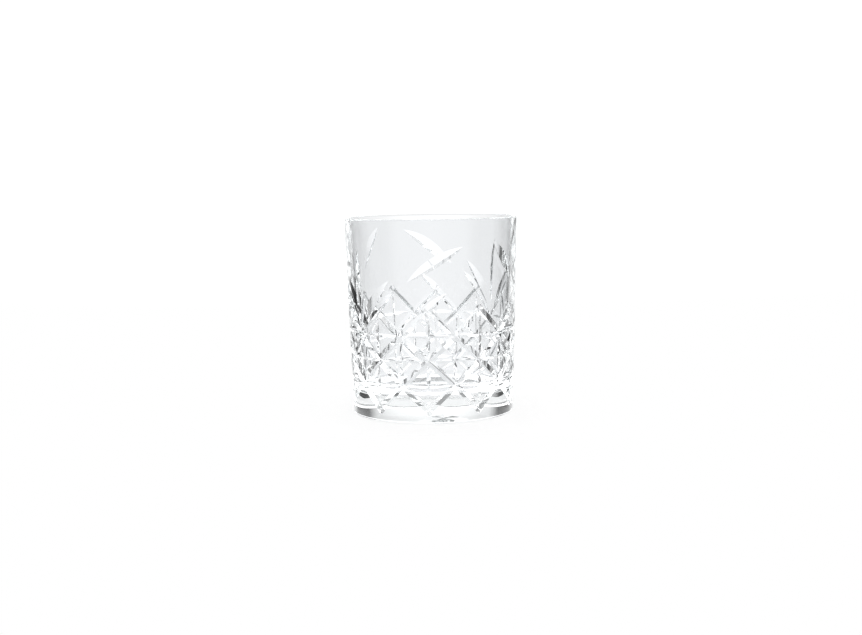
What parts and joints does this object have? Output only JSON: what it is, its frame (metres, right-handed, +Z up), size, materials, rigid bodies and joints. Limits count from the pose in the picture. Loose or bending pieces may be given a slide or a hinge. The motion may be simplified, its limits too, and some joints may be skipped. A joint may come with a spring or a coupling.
{
  "type": "whiskey tumbler",
  "caption": "Heavy straight-sided tumbler of clear pressed glass with a diamond cut-crystal lattice, star cuts and leaf sprays on its wall.",
  "frame": {"origin": "middle of the foot ring, on the surface that the tumbler stands on", "axes": "+Z up along the axis of the bowl; -Y is the front, where the long slanting leaf of the pattern is"},
  "size_m": [0.085, 0.085, 0.096],
  "materials": {
    "glass": "clear, fire-polished"
  },
  "bodies": {
    "root": {"tumbler": "glass"}
  },
  "joints": []
}
